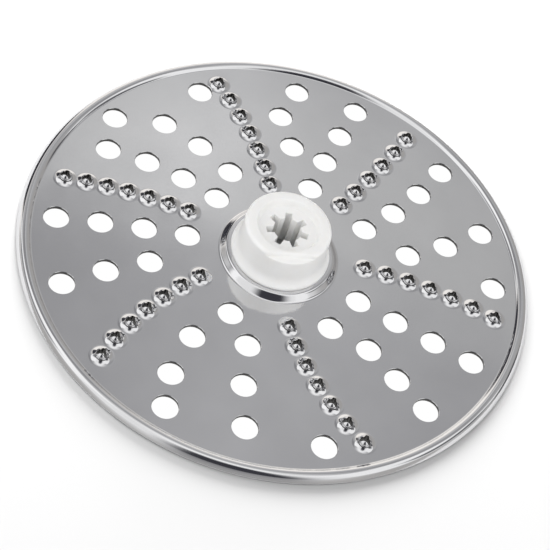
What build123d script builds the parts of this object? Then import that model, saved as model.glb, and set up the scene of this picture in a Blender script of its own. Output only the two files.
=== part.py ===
from build123d import *
import os
from math import acos, atan2, cos, degrees, hypot, pi, radians, sin, tan

os.makedirs("parts", exist_ok=True)

# A grating disc for a food processor: a pressed stainless sheet with raised pierced teeth,
# moulded into a plastic drive hub. Millimetres, +Z along the hub's axis, and the origin on
# that axis, level with the lower edge of the rim that the disc rests on.

# Sheet and rolled rim
sheet_t = 1.0
disc_r = 72.5
plate_top = 1.4
rim_w = 4.0
rim_edge_h = 0.5
bead_rise = 0.8
bead_r = 1.9
rim_root_r = 0.5
bead_flats = 4

# Centre boss and hub seat
boss_r = 16.6
boss_slope_w = 1.45
boss_h = 1.7
hub_hole_r = 11.0
key_notch_w = 5.0
key_notch_depth = 1.2
key_notches = 4
mould_gap = 0.05

# Raised pierced teeth: a six-sided crown with a flared foot, burst open by a three-edged punch
tooth_sides = 6
tooth_foot_r = 3.0
tooth_wall_r = 2.3
tooth_brow_r = 1.95
tooth_top_r = 1.05
tooth_foot_h = 0.5
tooth_wall_h = 1.65
tooth_h = 2.4
tooth_sink = 0.3
punch_edges = 3
punch_turn = 85.0
punch_tip_r = 1.6
punch_waist_r = 0.5
tooth_rim_margin = 5.8
tooth_boss_margin = 8.0

# Drain holes
drain_d = 7.2
drain_rim_margin = 6.4
drain_boss_margin = 9.2
drain_rings = 4

# Drive hub
hub_base_r = 13.9
hub_waist_r = 12.4
hub_top_r = 12.1
hub_h = 11.6
hub_foot_h = 0.8
hub_waist_h = 4.0
hub_flare_flats = 3
hub_edge_r = 1.2
edge_shoulder_share = 0.29
hub_recess_r = 8.8
hub_recess_depth = 2.0
hub_recess_draft = 0.6
hub_flat_depth = 2.0
hub_ledge_drop = 1.5
hub_flat_angle = -70.0
lower_flange_r = 13.2
lower_flange_t = 1.7
spline_grooves = 7
spline_land_r = 3.9
spline_groove_r = 5.9
spline_groove_w = 1.9
spline_turn = 50.0

# Tooth rows: angles of the outermost and the innermost tooth, how far the innermost stands outside
# the common inner radius, and the number of teeth
tooth_row_angles = (
    (180.5, 173.0),
    (122.5, 111.5),
    (67.5, 64.0),
    (4.0, 13.0),
    (-53.0, -67.5),
    (-123.0, -136.5),
)
tooth_row_shifts = (3.0, 0.0, 2.9, 0.0, 0.0, 0.0)
tooth_row_counts = (7, 7, 6, 7, 7, 7)

# Lines of drain holes: angles of the first and the last hole, the rings they lie on, and the number
# of holes. Ring 0 is the innermost, and a line between two rings is staggered against its neighbour.
drain_line_angles = (
    (152.0, 165.0),
    (133.0, 144.5),
    (100.0, 105.0),
    (85.5, 83.5),
    (43.5, 54.0),
    (24.5, 32.0),
    (-13.5, -12.0),
    (-33.0, -33.0),
    (-89.0, -83.0),
    (-105.0, -111.0),
    (-107.5, -103.0),
    (-151.0, -146.0),
    (-169.5, -166.5),
)
drain_line_rings = (
    (-0.1, 2.6),
    (0.4, 2.3),
    (1.2, 2.1),
    (0.1, 3.0),
    (0.2, 3.0),
    (1.0, 3.0),
    (0.0, 2.9),
    (1.0, 2.9),
    (0.6, 2.7),
    (0.0, 1.1),
    (2.2, 3.0),
    (0.9, 3.0),
    (0.0, 3.0),
)
drain_line_counts = (4, 3, 2, 4, 4, 3, 4, 3, 3, 2, 2, 3, 4)

# Lone drain holes: angle and ring
lone_drain_angles = (155.0, 128.5, 100.5, 14.0, -42.0, -63.0)
lone_drain_rings = (3.1, 2.9, 3.0, 3.0, 0.1, 3.0)

# Sizes worked out from the ones above
flat_r = disc_r - rim_w
rim_top = plate_top + bead_rise
plate_under = plate_top - sheet_t
land_top = plate_top + boss_h
land_under = land_top - sheet_t
land_r = boss_r - boss_slope_w
tooth_outer_r = flat_r - tooth_rim_margin
tooth_inner_r = boss_r + tooth_boss_margin
drain_outer_r = flat_r - drain_rim_margin
drain_inner_r = boss_r + drain_boss_margin
drain_ring_pitch = (drain_outer_r - drain_inner_r) / (drain_rings - 1)


def polar_line(r_first, r_last, angle_first, angle_last, count):
    """Places evenly spaced along a line that turns steadily as its radius changes."""
    places = []
    for index in range(count):
        share = index / max(count - 1, 1)
        radius = r_first + share * (r_last - r_first)
        angle = angle_first + share * (angle_last - angle_first)
        places.append((radius * cos(radians(angle)), radius * sin(radians(angle))))
    return places


def ring_r(ring):
    return drain_inner_r + ring * drain_ring_pitch


def round_flats(centre_r, centre_z, radius, first, last, flats):
    """Section points on a round drawn as several flats, with turns counted from straight up."""
    points = []
    for step in range(flats + 1):
        turn = first + step / flats * (last - first)
        points.append((centre_r + radius * sin(turn), centre_z + radius * cos(turn)))
    return points


tooth_places = []
for angles, shift, count in zip(tooth_row_angles, tooth_row_shifts, tooth_row_counts):
    tooth_places += polar_line(tooth_outer_r, tooth_inner_r + shift, *angles, count)

drain_places = []
for angles, rings, count in zip(drain_line_angles, drain_line_rings, drain_line_counts):
    drain_places += polar_line(ring_r(rings[0]), ring_r(rings[1]), *angles, count)
for angle, ring in zip(lone_drain_angles, lone_drain_rings):
    drain_places += polar_line(ring_r(ring), ring_r(ring), angle, angle, 1)

# Rim section: the sheet turns up at the root as far as the bead turns back from its crest, and from
# the bead it slopes straight down to the outer edge, which the disc rests on.
bead_turn = acos(1 - bead_rise / (rim_root_r + bead_r))
bead_z = rim_top - bead_r
crest_r = flat_r + (rim_root_r + bead_r) * sin(bead_turn)
edge_out = disc_r - crest_r
edge_up = rim_edge_h - bead_z
slope_turn = atan2(edge_out, edge_up) - acos(bead_r / hypot(edge_out, edge_up))
bead_points = round_flats(crest_r, bead_z, bead_r, -bead_turn, slope_turn, bead_flats)
bead_under = round_flats(crest_r, bead_z, bead_r - sheet_t, -bead_turn, slope_turn, 1)
root_under_r = bead_under[0][0] - (bead_under[0][1] - plate_under) / tan(bead_turn)
edge_under_r = bead_under[1][0] + bead_under[1][1] / tan(slope_turn)
slope_thin = sheet_t * boss_h / (boss_slope_w + boss_h)

with BuildPart() as disc_blank:
    with BuildSketch(Plane.XZ):
        with BuildLine():
            Polyline(
                (hub_hole_r, land_top),
                (land_r, land_top),
                (boss_r, plate_top),
                (flat_r, plate_top),
                *bead_points,
                (disc_r, rim_edge_h),
                (disc_r, 0),
                (edge_under_r, 0),
                bead_under[1],
                bead_under[0],
                (root_under_r, plate_under),
                (boss_r - slope_thin, plate_under),
                (land_r - slope_thin, land_under),
                (hub_hole_r, land_under),
                close=True,
            )
        make_face()
    revolve(axis=Axis.Z)

# Tooth crown on its own axis: a foot in the sheet, then three tapering tiers
tooth_levels = (0, tooth_foot_h, tooth_wall_h, tooth_h)
tooth_radii = (tooth_foot_r, tooth_wall_r, tooth_brow_r, tooth_top_r)
flat_share = cos(pi / tooth_sides)
with BuildPart() as tooth_crown:
    with BuildSketch(Plane.XY.offset(plate_top)):
        RegularPolygon(tooth_foot_r, tooth_sides, rotation=punch_turn)
    extrude(amount=-tooth_sink)
    for tier in range(len(tooth_levels) - 1):
        rise = tooth_levels[tier + 1] - tooth_levels[tier]
        narrowing = flat_share * (tooth_radii[tier] - tooth_radii[tier + 1])
        with BuildSketch(Plane.XY.offset(plate_top + tooth_levels[tier])):
            RegularPolygon(tooth_radii[tier], tooth_sides, rotation=punch_turn)
        extrude(amount=rise, taper=degrees(atan2(narrowing, rise)))

# Star that the punch tears open: its tips and the waists between them
punch_corners = []
for corner in range(2 * punch_edges):
    corner_r = punch_waist_r if corner % 2 else punch_tip_r
    angle = radians(punch_turn) + pi * corner / punch_edges
    punch_corners.append((corner_r * cos(angle), corner_r * sin(angle)))

with BuildPart() as grating_disc:
    add(disc_blank.part)
    with Locations(*tooth_places):
        add(tooth_crown.part)
    with BuildSketch(Plane.XY.offset(plate_under)):
        with Locations(*tooth_places):
            Polygon(*punch_corners, align=None)
    extrude(amount=sheet_t + tooth_h, mode=Mode.SUBTRACT)
    with BuildSketch(Plane.XY.offset(plate_under)):
        with Locations(*drain_places):
            Circle(drain_d / 2)
    extrude(amount=sheet_t, mode=Mode.SUBTRACT)
    with BuildSketch(Plane.XY.offset(land_under)):
        with PolarLocations(hub_hole_r, key_notches):
            Rectangle(2 * key_notch_depth, key_notch_w)
    extrude(amount=sheet_t, mode=Mode.SUBTRACT)

grating_disc.part.label = "grating_disc"
export_step(grating_disc.part, "parts/grating_disc.step")

# Hub: a body with a flared foot on the boss, a neck through the sheet and a flange that grips it
# from below
hub_top = land_top + hub_h
foot_top = land_top + hub_foot_h
waist_z = land_top + hub_waist_h
edge_z = hub_top - hub_edge_r
neck_r = hub_hole_r - mould_gap
flange_bottom = land_under - lower_flange_t
recess_floor = hub_top - hub_recess_depth
edge_shoulder = hub_edge_r * edge_shoulder_share
ledge_z = hub_top - hub_ledge_drop
ledge_r = hub_waist_r - (hub_waist_r - hub_top_r) * (ledge_z - waist_z) / (edge_z - waist_z)

# The flare is a round that ends upright at the waist
flare_out = hub_base_r - hub_waist_r
flare_up = waist_z - foot_top
flare_turn = 2 * atan2(flare_out, flare_up)
flare_r = flare_up / sin(flare_turn)
flare_first = -pi / 2 - flare_turn
flare_points = round_flats(hub_waist_r + flare_r, waist_z, flare_r, flare_first, -pi / 2, hub_flare_flats)

with BuildPart() as drive_hub:
    with BuildSketch(Plane.XZ):
        with BuildLine():
            Polyline(
                (0, flange_bottom),
                (lower_flange_r, flange_bottom),
                (lower_flange_r, land_under),
                (neck_r, land_under),
                (neck_r, land_top),
                (hub_base_r, land_top),
                *flare_points,
                (hub_top_r, edge_z),
                (hub_top_r - edge_shoulder, hub_top - edge_shoulder),
                (hub_top_r - hub_edge_r, hub_top),
                (hub_recess_r, hub_top),
                (hub_recess_r - hub_recess_draft, recess_floor),
                (0, recess_floor),
                close=True,
            )
        make_face()
    revolve(axis=Axis.Z)
    # Lugs that fill the notches in the sheet and carry the drive
    with BuildSketch(Plane.XY.offset(land_under)):
        with PolarLocations(hub_hole_r, key_notches):
            Rectangle(2 * (key_notch_depth - mould_gap), key_notch_w - 2 * mould_gap)
    extrude(amount=sheet_t)
    # Flat on the front of the body, which ends in a crescent ledge
    with BuildSketch(Plane.XY.offset(ledge_z)):
        with PolarLocations(ledge_r - hub_flat_depth, 1, start_angle=hub_flat_angle):
            Rectangle(hub_base_r, 2 * hub_base_r, align=(Align.MIN, Align.CENTER))
    extrude(until=Until.LAST, mode=Mode.SUBTRACT)
    # Splined bore for the drive shaft
    with BuildSketch(Plane.XY.offset(flange_bottom)):
        Circle(spline_land_r)
        with PolarLocations(0, spline_grooves, start_angle=spline_turn):
            Rectangle(spline_groove_r, spline_groove_w, align=(Align.MIN, Align.CENTER))
    extrude(until=Until.LAST, mode=Mode.SUBTRACT)

drive_hub.part.label = "drive_hub"
export_step(drive_hub.part, "parts/drive_hub.step")
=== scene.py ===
from math import acos, asin, atan2, cos, hypot, pi, radians, sin, tan

import bmesh
import bpy
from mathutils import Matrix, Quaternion, Vector
from mathutils.geometry import delaunay_2d_cdt


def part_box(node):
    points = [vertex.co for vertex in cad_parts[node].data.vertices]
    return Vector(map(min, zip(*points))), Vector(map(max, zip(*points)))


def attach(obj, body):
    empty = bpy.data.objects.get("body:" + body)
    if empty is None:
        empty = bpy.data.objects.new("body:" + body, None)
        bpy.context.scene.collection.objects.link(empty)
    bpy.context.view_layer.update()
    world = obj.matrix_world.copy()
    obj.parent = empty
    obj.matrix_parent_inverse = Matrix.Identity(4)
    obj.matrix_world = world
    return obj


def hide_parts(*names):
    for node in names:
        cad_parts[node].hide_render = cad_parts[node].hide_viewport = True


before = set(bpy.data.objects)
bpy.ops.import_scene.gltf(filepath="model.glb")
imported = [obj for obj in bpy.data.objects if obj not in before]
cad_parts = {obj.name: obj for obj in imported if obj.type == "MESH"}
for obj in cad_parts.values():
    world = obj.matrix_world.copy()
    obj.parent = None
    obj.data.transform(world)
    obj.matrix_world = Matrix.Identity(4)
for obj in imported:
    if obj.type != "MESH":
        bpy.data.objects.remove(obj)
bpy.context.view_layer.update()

# A grating disc: a pressed steel sheet with pierced teeth, and a white hub moulded into it.
# Sizes are in millimetres, in the part's own frame, and pieces turn them into metres.
MM = 0.001

disc_low, disc_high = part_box("grating_disc")
hub_low, hub_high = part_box("drive_hub")

# Sheet and rolled rim
sheet_t = 1.0
disc_r = min(disc_high.x, disc_high.y, -disc_low.x, -disc_low.y) / MM
plate_top = 1.4
rim_w = 4.0
rim_edge_h = 0.5
bead_rise = 0.8
bead_r = 1.9
rim_root_r = 0.5
rim_edge_r = 0.2

# Centre boss and hub seat
boss_r = 16.6
boss_slope_w = 1.45
boss_h = 1.7
boss_round_r = 1.1
hub_hole_r = 11.0

# Pierced teeth: the sheet swells into each tooth over a shallow flare, and turns up at its foot
flare_r = 3.5
flare_core_r = 2.9
flare_swell = 0.6
flare_power = 1.8
flare_turn_up = 0.03
flare_turn_up_power = 8
tooth_foot_r = 1.85
tooth_r = 1.8
tooth_waist_h = 0.9
tooth_h = (disc_high.z / MM) - plate_top
tooth_under_r = 2.3
tooth_lobe = 0.15
punch_edges = 3
punch_turn = 85.0
punch_tip_r = 1.6
punch_slot_w = 0.8
punch_edge_w = 0.1
tooth_rim_margin = 5.8
tooth_boss_margin = 8.0

# Flat collar where a rounded form leaves the sheet
collar = 0.15

# Drain holes
drain_r = 3.6
drain_edge = 0.08
drain_rim_margin = 6.4
drain_boss_margin = 9.2
drain_rings = 4

# Drive hub
hub_base_r = hub_high.x / MM
hub_waist_r = 12.4
hub_top_r = 12.1
hub_top = hub_high.z / MM
hub_bottom = hub_low.z / MM
hub_foot_h = 0.8
hub_waist_h = 4.0
hub_edge_r = 1.2
hub_recess_r = 8.8
hub_recess_depth = 2.0
hub_recess_draft = 0.6
hub_flat_depth = 2.0
hub_ledge_drop = 1.5
hub_flat_angle = -70.0
hub_flat_top_inset = 0.55
hub_flat_least_facing = 0.2
hub_soft_edge = 0.35
hub_foot_edge_r = 0.2
lower_flange_r = 13.2
spline_grooves = 7
spline_land_r = 3.9
spline_groove_r = 5.9
spline_groove_w = 1.9
spline_turn = 50.0
spline_edge_w = 0.25
spline_edge_round = 0.07

# Upper corner of the hub's foot: how far in and how far down each point lies
hub_foot_corner = ((0.0, 0.3), (0.07, 0.05))

# Over the ledge of the hub's flat, with both its corners rounded: the share of the flat that is
# cut away, and the height from the ledge
hub_ledge_rows = (
    (0, -0.35), (0.02, -0.14), (0.09, -0.03), (0.3, 0), (0.6, 0.01),
    (0.88, 0.04), (0.97, 0.13), (1, 0.3),
)

# Tooth rows: angle of the outermost tooth, angle of the innermost tooth, how far the innermost
# tooth stands outside the common inner radius, and the number of teeth.
tooth_rows = (
    (180.5, 173.0, 3.0, 7),
    (122.5, 111.5, 0.0, 7),
    (67.5, 64.0, 2.9, 6),
    (4.0, 13.0, 0.0, 7),
    (-53.0, -67.5, 0.0, 7),
    (-123.0, -136.5, 0.0, 7),
)

# Lines of drain holes: first angle, last angle, first ring, last ring, number of holes
drain_lines = (
    (152.0, 165.0, -0.1, 2.6, 4),
    (133.0, 144.5, 0.4, 2.3, 3),
    (100.0, 105.0, 1.2, 2.1, 2),
    (85.5, 83.5, 0.1, 3.0, 4),
    (43.5, 54.0, 0.2, 3.0, 4),
    (24.5, 32.0, 1.0, 3.0, 3),
    (-13.5, -12.0, 0.0, 2.9, 4),
    (-33.0, -33.0, 1.0, 2.9, 3),
    (-89.0, -83.0, 0.6, 2.7, 3),
    (-105.0, -111.0, 0.0, 1.1, 2),
    (-107.5, -103.0, 2.2, 3.0, 2),
    (-151.0, -146.0, 0.9, 3.0, 3),
    (-169.5, -166.5, 0.0, 3.0, 4),
    (155.0, 155.0, 3.1, 3.1, 1),
    (128.5, 128.5, 2.9, 2.9, 1),
    (100.5, 100.5, 3.0, 3.0, 1),
    (14.0, 14.0, 3.0, 3.0, 1),
    (-42.0, -42.0, 0.1, 0.1, 1),
    (-63.0, -63.0, 3.0, 3.0, 1),
)

# Levels and radii worked out from the sizes above
flat_r = disc_r - rim_w
rim_top = plate_top + bead_rise
plate_under = plate_top - sheet_t
land_top = plate_top + boss_h
land_under = land_top - sheet_t
land_r = boss_r - boss_slope_w
tooth_outer_r = flat_r - tooth_rim_margin
tooth_inner_r = boss_r + tooth_boss_margin
drain_outer_r = flat_r - drain_rim_margin
drain_inner_r = boss_r + drain_boss_margin
drain_ring_pitch = (drain_outer_r - drain_inner_r) / (drain_rings - 1)

# How finely round things are divided
rim_steps = 288
boss_steps = 144
drain_steps = 48
tooth_steps = 42
tooth_foot_rows = 13
tooth_crown_rows = 14
tooth_torn_rows = 2
flare_rows = 6
flare_row_pitch = 0.12

# Gaps between the spots on a flare and the core of their tooth, other teeth and drain holes
spot_core_gap = 0.07
spot_tooth_gap = 0.03
spot_drain_gap = 0.2

# Angles in degrees above which an edge is shaded sharp
disc_sharp_angle = 40
hub_sharp_angle = 38


def polar_line(r_first, r_last, angle_first, angle_last, count):
    """Places evenly spaced along a line that turns steadily as its radius changes."""
    places = []
    for index in range(count):
        share = index / max(count - 1, 1)
        radius = r_first + share * (r_last - r_first)
        angle = radians(angle_first + share * (angle_last - angle_first))
        places.append((radius * cos(angle), radius * sin(angle)))
    return places


tooth_places = []
for angle_outer, angle_inner, inner_shift, count in tooth_rows:
    inner_r = tooth_inner_r + inner_shift
    tooth_places += polar_line(tooth_outer_r, inner_r, angle_outer, angle_inner, count)
drain_places = []
for angle_first, angle_last, ring_first, ring_last, count in drain_lines:
    r_first = drain_inner_r + ring_first * drain_ring_pitch
    r_last = drain_inner_r + ring_last * drain_ring_pitch
    drain_places += polar_line(r_first, r_last, angle_first, angle_last, count)


def arc(centre_r, centre_z, radius, first, last, steps):
    """Points of a section along an arc, with angles in degrees from the outward direction."""
    points = []
    for step in range(steps + 1):
        angle = radians(first + (last - first) * step / steps)
        points.append((centre_r + radius * cos(angle), centre_z + radius * sin(angle)))
    return points


def even_turns(steps, start=0.0):
    return [radians(start) + 2 * pi * step / steps for step in range(steps)]


class Shell:
    """Points and faces of one closed piece, in millimetres."""

    def __init__(self):
        self.points = []
        self.faces = []
        self.cut_and_painted_shade_faces = []

    def ring(self, turns, radius_at, height_at, centre=(0, 0)):
        """One ring of points; the radius and the height may change with the turn."""
        first = len(self.points)
        for turn in turns:
            radius = radius_at(turn) if callable(radius_at) else radius_at
            height = height_at(turn) if callable(height_at) else height_at
            x = centre[0] + radius * cos(turn)
            y = centre[1] + radius * sin(turn)
            self.points.append((x, y, height))
        return list(range(first, len(self.points)))

    def band(self, ring_a, ring_b, cut=False):
        """Quads between two rings of the same count; a cut band takes the second material, the
        steel with painted shade.
        """
        for step in range(len(ring_a)):
            after = (step + 1) % len(ring_a)
            if cut:
                self.cut_and_painted_shade_faces.append(len(self.faces))
            self.faces.append((ring_a[step], ring_a[after], ring_b[after], ring_b[step]))

    def lathe(self, section, turns, centre=(0, 0)):
        """A surface turned from section points; returns its first and last ring."""
        rings = [self.ring(turns, r, z, centre) for r, z in section]
        for ring_a, ring_b in zip(rings, rings[1:]):
            self.band(ring_a, ring_b)
        return rings[0], rings[-1]

    def flat(self, outer, holes, spots=(), height_at=None):
        """A sheet between an outer ring and the rings of its holes, through further spots."""
        members = [(index, 0) for index in outer]
        edges = []
        for number, ring in enumerate([outer] + holes):
            first = 0 if number == 0 else len(members)
            if number:
                members += [(index, number) for index in ring]
            count = len(ring)
            edges += [(first + step, first + (step + 1) % count) for step in range(count)]
        for x, y in spots:
            members.append((len(self.points), -1 - len(members)))
            self.points.append((x, y, height_at(x, y)))
        places = [Vector(self.points[index][:2]) for index, _ in members]
        _, _, triangles, origins, _, _ = delaunay_2d_cdt(places, edges, [], 0, 1e-7)
        for triangle in triangles:
            corners = [members[origins[corner][0]] for corner in triangle]
            owners = {number for _, number in corners}
            if len(owners) > 1 or owners == {0}:
                self.faces.append(tuple(index for index, _ in corners))

    def piece(self, name, sharp_angle):
        """The finished object, with its edges sharp above an angle."""
        mesh = bpy.data.meshes.new(name)
        mesh.from_pydata([(x * MM, y * MM, z * MM) for x, y, z in self.points], [], self.faces)
        work = bmesh.new()
        work.from_mesh(mesh)
        bmesh.ops.recalc_face_normals(work, faces=work.faces)
        work.to_mesh(mesh)
        work.free()
        # Faces of torn and sheared edges, tooth insides and tooth feet take the second material,
        # with its painted shade.
        for face in self.cut_and_painted_shade_faces:
            mesh.polygons[face].material_index = 1
        mesh.shade_smooth()
        mesh.set_sharp_from_angle(angle=radians(sharp_angle))
        made = bpy.data.objects.new(name, mesh)
        bpy.context.scene.collection.objects.link(made)
        return made


def rim_section():
    """From the sheet's top over the bead and down to the outer edge, then back below."""
    bead_turn = acos(1 - bead_rise / (rim_root_r + bead_r)) * 180 / pi
    bead_z = rim_top - bead_r
    crest_r = flat_r + (rim_root_r + bead_r) * sin(radians(bead_turn))
    edge_out = disc_r - crest_r
    edge_up = rim_edge_h - bead_z
    slope = (atan2(edge_out, edge_up) - acos(bead_r / hypot(edge_out, edge_up))) * 180 / pi
    section = [(flat_r - collar, plate_top)]
    section += arc(flat_r, plate_top + rim_root_r, rim_root_r, -90, bead_turn - 90, 8)
    section += arc(crest_r, bead_z, bead_r, 90 + bead_turn, 90 - slope, 24)[1:]
    section += arc(disc_r - rim_edge_r, rim_edge_h - rim_edge_r / 2, rim_edge_r, 90 - slope, 0, 4)
    section += arc(disc_r - rim_edge_r, rim_edge_r, rim_edge_r, 0, -90, 4)
    under = bead_r - sheet_t
    under_arc = arc(crest_r, bead_z, under, 90 - slope, 90 + bead_turn, 8)
    section.append((under_arc[0][0] + under_arc[0][1] / tan(radians(slope)), 0))
    section += under_arc
    root_r = under_arc[-1][0] - (under_arc[-1][1] - plate_under) / tan(radians(bead_turn))
    section += [(root_r, plate_under), (root_r - collar, plate_under)]
    return section


def boss_section():
    """From the sheet's top up the boss, over its land into the hub's hole, and back below."""
    slope = atan2(boss_h, boss_slope_w) * 180 / pi
    reach = boss_round_r * tan(radians(slope / 2))
    thin = sheet_t * boss_h / (boss_slope_w + boss_h)
    section = [(boss_r + reach + collar, plate_top)]
    section += arc(boss_r + reach, plate_top + boss_round_r, boss_round_r, -90, -90 - slope, 8)
    section += arc(land_r - reach, land_top - boss_round_r, boss_round_r, 90 - slope, 90, 8)
    section += [(land_r - reach - collar, land_top), (hub_hole_r, land_top)]
    section += [(hub_hole_r, land_under), (land_r - thin, land_under)]
    section += [(boss_r - thin, plate_under), (boss_r - thin + collar, plate_under)]
    return section


def swell(distance):
    """Height of the flare round one tooth at a distance from its axis."""
    share = max(flare_r - max(distance, tooth_foot_r), 0) / (flare_r - tooth_foot_r)
    return flare_swell * share ** flare_power + flare_turn_up * share ** flare_turn_up_power


def apart(a, b):
    """Distance between two places on the sheet."""
    return hypot(a[0] - b[0], a[1] - b[1])


def sheet_height(x, y):
    """Height of the sheet's top, where the flares of neighbouring teeth run together."""
    cubes = 0.0
    for place in tooth_places:
        distance = apart((x, y), place)
        if distance < flare_r:
            cubes += swell(distance) ** 3
    return plate_top + cubes ** (1 / 3)


def sheet_round(centre, radius, drop=0.0):
    """Height of the sheet's top on a circle, less a drop, at a turn about its centre."""
    def height_at(turn):
        x = centre[0] + radius * cos(turn)
        y = centre[1] + radius * sin(turn)
        return sheet_height(x, y) - drop
    return height_at


def add_drain(shell, centre):
    """One drain hole with broken edges; returns its rings on the sheet's top and underside."""
    turns = even_turns(drain_steps)
    edge_r = drain_r + drain_edge
    rings = [
        shell.ring(turns, edge_r, sheet_round(centre, edge_r), centre),
        shell.ring(turns, drain_r, sheet_round(centre, edge_r, drain_edge), centre),
        shell.ring(turns, drain_r, plate_under + drain_edge, centre),
        shell.ring(turns, edge_r, plate_under, centre),
    ]
    for row, (ring_a, ring_b) in enumerate(zip(rings, rings[1:])):
        # The hole's sheared wall (row 1) takes the steel with painted shade.
        shell.band(ring_a, ring_b, row == 1)
    return rings[0], rings[-1]


def punch_edge(turn):
    """Radius of the torn star that the punch opens, at a turn about the tooth's axis."""
    period = 2 * pi / punch_edges
    offset = (turn - radians(punch_turn)) % period
    offset = min(offset, period - offset)
    arm_end = asin(punch_slot_w / 2 / punch_tip_r)
    return punch_tip_r if offset < arm_end else punch_slot_w / 2 / sin(offset)


def lobe(turn):
    """Each petal between two tears bulges a little."""
    return 1 - tooth_lobe * cos(punch_edges * (turn - radians(punch_turn)))


def add_tooth(shell, centre):
    """One pierced tooth: the inner part of its flare, a domed crown torn into petals, and the tear
    down through the sheet. Returns its rings on the sheet's top and underside."""
    turns = even_turns(tooth_steps, punch_turn)
    waist = plate_top + tooth_waist_h
    crown_h = tooth_h - tooth_waist_h
    rings = []
    for row in range(tooth_foot_rows):
        radius = flare_core_r - (flare_core_r - tooth_foot_r) * row / (tooth_foot_rows - 1)
        rings.append(shell.ring(turns, radius, sheet_round(centre, radius), centre))
    for row in range(tooth_crown_rows + 1):
        share = row / tooth_crown_rows

        def lean(turn):
            return share * acos(punch_edge(turn) / tooth_r)

        def crown_r(turn):
            return tooth_r * cos(lean(turn)) * (1 + share * (1 - share) * (lobe(turn) - 1))

        def crown_z(turn):
            return waist + crown_h * sin(lean(turn))

        rings.append(shell.ring(turns, crown_r, crown_z, centre))
    torn_from = tooth_foot_rows + tooth_crown_rows - tooth_torn_rows
    torn_to = len(rings) + 1

    def tear_mouth(turn):
        return punch_edge(turn) + punch_edge_w

    rings.append(shell.ring(turns, punch_edge, plate_under + punch_edge_w, centre))
    rings.append(shell.ring(turns, tear_mouth, plate_under, centre))
    rings.append(shell.ring(turns, tooth_under_r, plate_under, centre))
    # The step at the crown's foot and the torn rows take the steel with painted shade, which
    # stands for their shadow.
    for row, (ring_a, ring_b) in enumerate(zip(rings, rings[1:])):
        shell.band(ring_a, ring_b, row == tooth_foot_rows - 1 or torn_from <= row < torn_to)
    return rings[0], rings[-1]


def flare_spots():
    """Spots on the outer part of the flares, each with its own tooth nearest to it, clear of the
    other teeth and of the holes."""
    spots = []
    near = 3 * flare_r
    for centre in tooth_places:
        teeth = [place for place in tooth_places if 0 < apart(place, centre) < near]
        drains = [place for place in drain_places if apart(place, centre) < near]
        for row in range(flare_rows):
            radius = flare_core_r + spot_core_gap + flare_row_pitch * row
            for turn in even_turns(tooth_steps, punch_turn):
                spot = (centre[0] + radius * cos(turn), centre[1] + radius * sin(turn))
                off_teeth = all(apart(spot, place) > radius + spot_tooth_gap for place in teeth)
                off_drains = all(apart(spot, place) > drain_r + spot_drain_gap for place in drains)
                if off_teeth and off_drains:
                    spots.append(spot)
    return spots


def make_disc():
    shell = Shell()
    rim_top_ring, rim_under = shell.lathe(rim_section(), even_turns(rim_steps))
    boss_top, boss_under = shell.lathe(boss_section(), even_turns(boss_steps))
    top_holes = [boss_top]
    under_holes = [boss_under]
    for spot in tooth_places:
        foot, throat = add_tooth(shell, spot)
        top_holes.append(foot)
        under_holes.append(throat)
    for spot in drain_places:
        above, below = add_drain(shell, spot)
        top_holes.append(above)
        under_holes.append(below)
    shell.flat(rim_top_ring, top_holes, flare_spots(), sheet_height)
    shell.flat(rim_under, under_holes)
    return shell.piece("pierced_sheet", disc_sharp_angle)


def soft_least(a, b, width):
    """The smaller of two sizes, with a rounded change between them."""
    mix = max(width - abs(a - b), 0) / width
    return min(a, b) - mix * mix * width / 4


def spline_edge(turn):
    """Radius of the splined bore at a turn about the hub's axis."""
    period = 2 * pi / spline_grooves
    offset = (turn - radians(spline_turn)) % period
    offset = min(offset, period - offset)
    half_w = spline_groove_w / 2
    if offset < asin(half_w / spline_groove_r):
        return spline_groove_r
    return max(half_w / sin(offset), spline_land_r)


def spline_turns():
    """Turns about the hub's axis, closer together at the corners of the grooves."""
    half_w = spline_groove_w / 2
    outer_corner = asin(half_w / spline_groove_r)
    inner_corner = asin(half_w / spline_land_r)
    half_period = pi / spline_grooves
    side = [outer_corner * share for share in (0.35, 0.7, 0.93, 1.0)]
    flank = inner_corner - outer_corner
    side += [outer_corner + flank * share for share in (0.25, 0.5, 0.75, 1.0)]
    land = half_period - inner_corner
    side += [inner_corner + land * share for share in (0.08, 0.35, 0.7)]
    offsets = [-offset for offset in reversed(side)] + [0.0] + side + [half_period]
    turns = []
    for groove in range(spline_grooves):
        middle = radians(spline_turn) + 2 * half_period * groove
        turns += [middle + offset for offset in offsets]
    return turns


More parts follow.
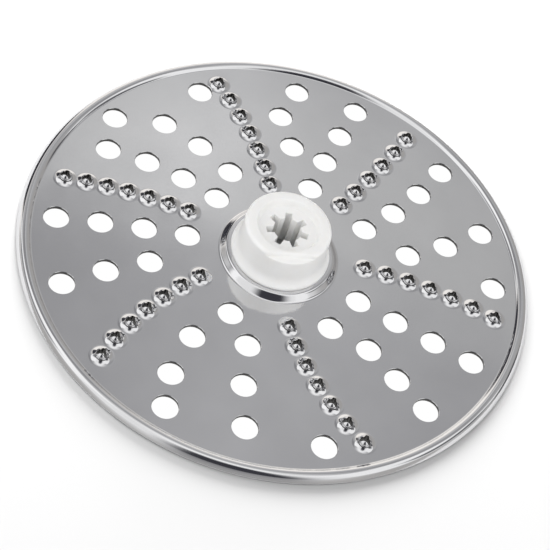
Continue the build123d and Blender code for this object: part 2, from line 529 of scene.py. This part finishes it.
def make_hub():
    shell = Shell()
    turns = spline_turns()
    foot_top = land_top + hub_foot_h
    waist_z = land_top + hub_waist_h
    ledge_z = hub_top - hub_ledge_drop
    recess_floor = hub_top - hub_recess_depth
    edge_z = hub_top - hub_edge_r

    def body_at(height):
        return hub_waist_r + (hub_top_r - hub_waist_r) * (height - waist_z) / (edge_z - waist_z)

    flat_reach = body_at(ledge_z) - hub_flat_depth

    def cut(radius, share=1.0, inset=0.0):
        """A radius of the body, cut back by a share of the flat on its front."""
        def radius_at(turn):
            facing = cos(turn - radians(hub_flat_angle))
            if facing < hub_flat_least_facing:
                return radius
            least = soft_least(radius, (flat_reach - inset) / facing, hub_soft_edge)
            return radius + share * (least - radius)
        return radius_at

    def bore(extra):
        return lambda turn: spline_edge(turn) + extra

    soft = hub_soft_edge
    rows = [(bore(0.0), hub_bottom + spline_edge_w), (bore(spline_edge_w), hub_bottom)]
    rows += arc(lower_flange_r - soft, hub_bottom + soft, soft, -90, 0, 4)
    rows += [(lower_flange_r, land_under), (hub_hole_r, land_under), (hub_hole_r, land_top)]
    foot_edge_r = hub_foot_edge_r
    rows += arc(hub_base_r - foot_edge_r, land_top + foot_edge_r, foot_edge_r, -60, 0, 3)
    flare_turn = 2 * atan2(hub_base_r - hub_waist_r, waist_z - foot_top) * 180 / pi
    flare_round_r = (waist_z - foot_top) / sin(radians(flare_turn))
    rows += [(hub_base_r - inset, foot_top - drop) for inset, drop in hub_foot_corner]
    rows += arc(hub_waist_r + flare_round_r, waist_z, flare_round_r, 180 + flare_turn, 180, 12)[1:]
    for share in (0.25, 0.5, 0.75):
        height = waist_z + share * (ledge_z - waist_z)
        rows.append((body_at(height), height))
    for share, rise in hub_ledge_rows:
        height = ledge_z + rise
        rows.append((cut(body_at(height), share), height))
    for radius, height in arc(hub_top_r - hub_edge_r, edge_z, hub_edge_r, 20, 90, 8):
        rows.append((cut(radius, 1.0, hub_flat_top_inset * (hub_top_r - radius)), height))
    rows += arc(hub_recess_r + soft, hub_top - soft, soft, 90, 180, 5)
    rows += arc(hub_recess_r - hub_recess_draft - soft, recess_floor + soft, soft, 0, -90, 5)
    rows.append((bore(spline_edge_w), recess_floor))
    rows.append((bore(spline_edge_round), recess_floor - spline_edge_round))
    rows.append((bore(0.0), recess_floor - spline_edge_w))
    first, last = shell.lathe(rows, turns)
    shell.band(last, first)
    return shell.piece("moulded_hub", hub_sharp_angle)


# Depth of the bump in the materials, in metres
bump_depth = 0.0001


class Graph:
    """Adds nodes to a tree and joins them."""

    def __init__(self, tree):
        self.tree = tree

    def node(self, kind, inputs=None, **settings):
        made = self.tree.nodes.new(kind)
        for name, value in settings.items():
            setattr(made, name, value)
        for name, value in (inputs or {}).items():
            self.feed(made.inputs[name], value)
        return made

    def feed(self, socket, value):
        if isinstance(value, bpy.types.NodeSocket):
            self.tree.links.new(value, socket)
        else:
            socket.default_value = value

    def math(self, operation, a, b=0.0):
        return self.node("ShaderNodeMath", {0: a, 1: b}, operation=operation).outputs[0]

    def step(self, value, low, high):
        """0 below low, 1 above high, and smooth between."""
        made = self.node(
            "ShaderNodeMapRange",
            {"Value": value, "From Min": low, "From Max": high},
            interpolation_type="SMOOTHSTEP",
        )
        return made.outputs["Result"]

    def range(self, value, low, high):
        made = self.node("ShaderNodeMapRange", {"Value": value, "To Min": low, "To Max": high})
        return made.outputs["Result"]

    def noise(self, place, scale, detail):
        inputs = {"Vector": place, "Scale": scale, "Detail": detail}
        return self.node("ShaderNodeTexNoise", inputs).outputs["Fac"]

    def bump(self, height, strength):
        inputs = {"Height": height, "Strength": strength, "Distance": bump_depth}
        return self.node("ShaderNodeBump", inputs).outputs["Normal"]

    def ramp(self, value, stops):
        made = self.node("ShaderNodeValToRGB", {"Fac": value})
        elements = made.color_ramp.elements
        while len(elements) < len(stops):
            elements.new(0.5)
        for element, (place, colour) in zip(elements, stops):
            element.position = place
            element.color = (*colour, 1)
        return made.outputs["Color"]

    def mix(self, share, a, b):
        made = self.node("ShaderNodeMix", data_type="RGBA")
        self.feed(made.inputs["Factor"], share)
        self.feed(made.inputs["A"], a)
        self.feed(made.inputs["B"], b)
        return made.outputs["Result"]


def new_material(name):
    """A material with its shader, and the graph that adds nodes to it."""
    material = bpy.data.materials.new(name)
    material.use_nodes = True
    shader = material.node_tree.nodes["Principled BSDF"]
    return material, shader, Graph(material.node_tree)


def steel():
    """Polished sheet steel: a near mirror with a fine grain and soft cloudiness."""
    material, shader, graph = new_material("polished_steel")
    place = graph.node("ShaderNodeTexCoord").outputs["Object"]
    cloud = graph.noise(place, 60.0, 3.0)
    grain = graph.noise(place, 2600.0, 2.0)
    tone = graph.ramp(cloud, ((0.3, (0.70, 0.70, 0.71)), (0.7, (0.75, 0.75, 0.76))))
    graph.feed(shader.inputs["Base Color"], tone)
    graph.feed(shader.inputs["Roughness"], graph.range(grain, 0.05, 0.13))
    graph.feed(shader.inputs["Normal"], graph.bump(grain, 0.015))
    shader.inputs["Metallic"].default_value = 1.0
    return material


def cut_steel_painted_shade():
    """Torn and sheared edges, insides of the teeth and the step at their feet: dull steel, painted
    far darker than steel to stand for the shade in them.
    """
    material, shader, graph = new_material("cut_steel_painted_shade")
    place = graph.node("ShaderNodeTexCoord").outputs["Object"]
    drawn = graph.node("ShaderNodeMapping", {"Vector": place, "Scale": (1.0, 1.0, 0.1)})
    streaks = graph.noise(drawn.outputs[0], 2400.0, 2.0)
    # Painted shade: the colour runs only from 0.04 to 0.10, far darker than steel, and stands for
    # the shadow and dark reflections in these places.
    tone = graph.ramp(streaks, ((0.3, (0.04, 0.039, 0.038)), (0.7, (0.10, 0.097, 0.094))))
    graph.feed(shader.inputs["Base Color"], tone)
    graph.feed(shader.inputs["Roughness"], graph.range(streaks, 0.32, 0.5))
    graph.feed(shader.inputs["Normal"], graph.bump(streaks, 0.1))
    shader.inputs["Metallic"].default_value = 1.0
    return material


def plastic():
    """White moulded plastic, slightly translucent, with a fine satin grain."""
    material, shader, graph = new_material("white_plastic")
    place = graph.node("ShaderNodeTexCoord").outputs["Object"]
    cloud = graph.noise(place, 180.0, 3.0)
    grain = graph.noise(place, 3200.0, 2.0)
    tone = graph.ramp(cloud, ((0.3, (0.90, 0.895, 0.88)), (0.7, (0.93, 0.93, 0.92))))
    graph.feed(shader.inputs["Base Color"], tone)
    graph.feed(shader.inputs["Roughness"], graph.range(grain, 0.34, 0.46))
    graph.feed(shader.inputs["Normal"], graph.bump(grain, 0.05))
    shader.inputs["Subsurface Weight"].default_value = 0.25
    shader.inputs["Subsurface Radius"].default_value = (1.0, 0.95, 0.85)
    shader.inputs["Subsurface Scale"].default_value = 0.002
    return material


# Floor, in metres: half its side, its level just under the rim, and the distances from the axis
# between which it turns plain white far out, and white starts and ends under the sheet
floor_tone = 0.67
floor_half = 2.0
floor_level = -0.00003
floor_far = (0.1, 0.2)
floor_hub_edge = (0.013, 0.015)
floor_sheet_edge = (0.069, 0.072)


def make_floor():
    """A white floor with the object's shadow, plain white far out and under the sheet's holes."""
    half = floor_half
    mesh = bpy.data.meshes.new("floor")
    corners = [(-half, -half), (half, -half), (half, half), (-half, half)]
    mesh.from_pydata([(x, y, floor_level) for x, y in corners], [], [(0, 1, 2, 3)])
    floor = bpy.data.objects.new("floor", mesh)
    bpy.context.scene.collection.objects.link(floor)
    material = bpy.data.materials.new("floor_white")
    material.use_nodes = True
    graph = Graph(material.node_tree)
    material.node_tree.nodes.clear()
    place = graph.node("ShaderNodeTexCoord").outputs["Object"]
    away = graph.node("ShaderNodeVectorMath", {0: place}, operation="LENGTH").outputs["Value"]
    under_sheet = graph.math("SUBTRACT", 1.0, graph.step(away, *floor_sheet_edge))
    under_sheet = graph.math("MULTIPLY", under_sheet, graph.step(away, *floor_hub_edge))
    lit = graph.node("ShaderNodeBsdfDiffuse", {"Color": (floor_tone, floor_tone, floor_tone, 1)})
    glow = graph.node("ShaderNodeEmission", {"Color": (1, 1, 1, 1), "Strength": 1.0})
    path = graph.node("ShaderNodeLightPath")
    seen = graph.math("MAXIMUM", path.outputs["Is Camera Ray"], path.outputs["Is Glossy Ray"])
    seen = graph.math("MAXIMUM", seen, path.outputs["Is Transmission Ray"])
    far = graph.step(away, *floor_far)
    plain = graph.math("MULTIPLY", seen, graph.math("MAXIMUM", under_sheet, far))
    surface = graph.node("ShaderNodeMixShader", {0: plain, 1: lit.outputs[0], 2: glow.outputs[0]})
    output = graph.node("ShaderNodeOutputMaterial")
    graph.feed(output.inputs["Surface"], surface.outputs[0])
    mesh.materials.append(material)
    return floor


# The studio round the object, as its polished steel mirrors it: cards of one colour, each with
# its name, its middle and half size in azimuth (from +Y towards +X), the same in elevation, the
# width of its soft edge, all in degrees, and its colour.
studio_cards = (
    ("back_gap", 0, 60, 41.5, 4, 5, (0.47, 0.47, 0.48)),
    ("back_low", 0, 75, 15, 21, 6, (0.45, 0.44, 0.43)),
    ("back_cream", -38, 42, 15, 21, 14, (1.15, 1.11, 1.06)),
    ("overhead", 0, 181, 90, 14, 28, (1.15, 1.15, 1.15)),
    ("left_box", -92, 34, 42, 24, 6, (1.2, 1.2, 1.2)),
    ("right_box", 92, 34, 42, 24, 6, (1.1, 1.1, 1.1)),
    ("left_under", -88, 22, 28, 10, 10, (0.3, 0.3, 0.31)),
    ("right_under", 84, 18, 30, 10, 10, (0.15, 0.15, 0.16)),
    ("front_low", 180, 110, 0, 12, 12, (0.5, 0.49, 0.48)),
    ("dark_left", -48, 14, 12, 20, 6, (0.05, 0.05, 0.06)),
    ("dark_right", 60, 8, 12, 12, 6, (0.12, 0.12, 0.13)),
    ("dark_front", 168, 27, 45, 33, 22, (0.05, 0.05, 0.06)),
)

# Behind the object the studio is a wall in two heights, each changing across its width. In
# degrees: the azimuth to each side over which it changes, the elevations between which the
# heights meet, and the azimuths between which the wall turns white towards the front.
wall_half_az = 20.0
wall_change_el = (50.0, 51.0)
wall_front_az = (70.0, 110.0)
wall_high = (
    (0.0, (0.30, 0.30, 0.31)),
    (0.25, (0.40, 0.40, 0.41)),
    (0.5, (0.50, 0.50, 0.51)),
    (0.62, (0.48, 0.48, 0.49)),
    (0.78, (0.42, 0.42, 0.43)),
    (1.0, (0.38, 0.38, 0.39)),
)
wall_low = (
    (0.0, (0.45, 0.45, 0.46)),
    (0.25, (0.70, 0.70, 0.70)),
    (0.38, (0.82, 0.82, 0.82)),
    (0.5, (0.63, 0.63, 0.63)),
    (0.65, (0.57, 0.57, 0.57)),
    (1.0, (0.46, 0.46, 0.46)),
)


def make_world():
    """The studio: a wall behind the object, white in front of it, and the cards over both."""
    world = bpy.data.worlds.new("studio")
    bpy.context.scene.world = world
    world.use_nodes = True
    graph = Graph(world.node_tree)
    world.node_tree.nodes.clear()
    direction = graph.node("ShaderNodeTexCoord").outputs["Generated"]
    parts = graph.node("ShaderNodeSeparateXYZ", {0: direction}).outputs
    azimuth = graph.math("MULTIPLY", graph.math("ARCTAN2", parts[0], parts[1]), 180 / pi)
    elevation = graph.math("MULTIPLY", graph.math("ARCSINE", parts[2]), 180 / pi)
    across = graph.node("ShaderNodeMapRange", {
        "Value": azimuth, "From Min": -wall_half_az, "From Max": wall_half_az,
    }).outputs["Result"]
    high = graph.ramp(across, wall_high)
    low = graph.ramp(across, wall_low)
    back = graph.mix(graph.step(elevation, *wall_change_el), low, high)
    front = graph.step(graph.math("ABSOLUTE", azimuth), *wall_front_az)
    colour = graph.mix(front, back, (1, 1, 1, 1))
    for _, az, half_az, el, half_el, soft, tone in studio_cards:
        off_az = graph.math("ABSOLUTE", graph.math("SUBTRACT", azimuth, az))
        off_az = graph.math("ABSOLUTE", graph.math("SUBTRACT", off_az, 180.0))
        off_az = graph.math("SUBTRACT", 180.0, off_az)
        off_el = graph.math("ABSOLUTE", graph.math("SUBTRACT", elevation, el))
        inside_az = graph.step(off_az, half_az + soft / 2, half_az - soft / 2)
        inside_el = graph.step(off_el, half_el + soft / 2, half_el - soft / 2)
        colour = graph.mix(graph.math("MULTIPLY", inside_az, inside_el), colour, (*tone, 1))
    background = graph.node("ShaderNodeBackground", {"Color": colour, "Strength": 1.0})
    output = graph.node("ShaderNodeOutputWorld")
    graph.feed(output.inputs["Surface"], background.outputs[0])


# Soft boxes that all face the origin: name, place, size in metres and power in watts
floor_lamps = (
    ("shadow_box", (-0.1, 0.96, 0.26), 0.6, 28.0),
    ("shadow_side", (-0.8, 0.45, 0.4), 0.5, 8.0),
)
hub_lamps = (
    ("front_fill", (-0.2, -0.9, 0.55), 0.6, 2.2),
    ("right_fill", (0.9, -0.3, 0.2), 0.6, 2.6),
    ("left_fill", (-0.9, -0.1, 0.2), 0.6, 1.2),
    ("top_fill", (0.0, 0.1, 1.0), 0.6, 0.9),
)


def make_lamp(name, place, size, power, lit):
    """A soft box that lights one thing only and isn't itself mirrored."""
    light = bpy.data.lights.new(name, "AREA")
    light.shape = "DISK"
    light.size = size
    light.energy = power
    lamp = bpy.data.objects.new(name, light)
    lamp.location = place
    lamp.rotation_mode = "QUATERNION"
    lamp.rotation_quaternion = (Vector() - Vector(place)).to_track_quat("-Z", "Y")
    lamp.visible_glossy = False
    lamp.visible_camera = False
    bpy.context.scene.collection.objects.link(lamp)
    receivers = bpy.data.collections.new(name + "_lights")
    receivers.objects.link(lit)
    lamp.light_linking.receiver_collection = receivers


# Camera of the photograph: place and aim in metres, roll in degrees, lens for a 36 mm sensor
camera_place = Vector((0.0, -323.9, 395.9)) * MM
camera_aim = Vector((1.0, -7.45, plate_top)) * MM
camera_roll = 20.13
camera_lens = 120.5
camera_sensor = 36.0


def make_camera():
    data = bpy.data.cameras.new("camera")
    data.lens = camera_lens
    data.sensor_width = camera_sensor
    data.clip_start = 0.01
    camera = bpy.data.objects.new("camera", data)
    camera.location = camera_place
    camera.rotation_mode = "QUATERNION"
    level = (camera_aim - camera_place).to_track_quat("-Z", "Y")
    camera.rotation_quaternion = level @ Quaternion((0, 0, 1), radians(camera_roll))
    bpy.context.scene.collection.objects.link(camera)
    bpy.context.scene.camera = camera


disc = make_disc()
disc.data.materials.append(steel())
# The second material is the steel with painted shade.
disc.data.materials.append(cut_steel_painted_shade())
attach(disc, "root")
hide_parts("grating_disc")

hub = make_hub()
hub.data.materials.append(plastic())
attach(hub, "root")
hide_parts("drive_hub")

floor = make_floor()
make_world()
for lamp in floor_lamps:
    make_lamp(*lamp, floor)
for lamp in hub_lamps:
    make_lamp(*lamp, hub)
make_camera()

bpy.context.scene.view_settings.view_transform = "Standard"
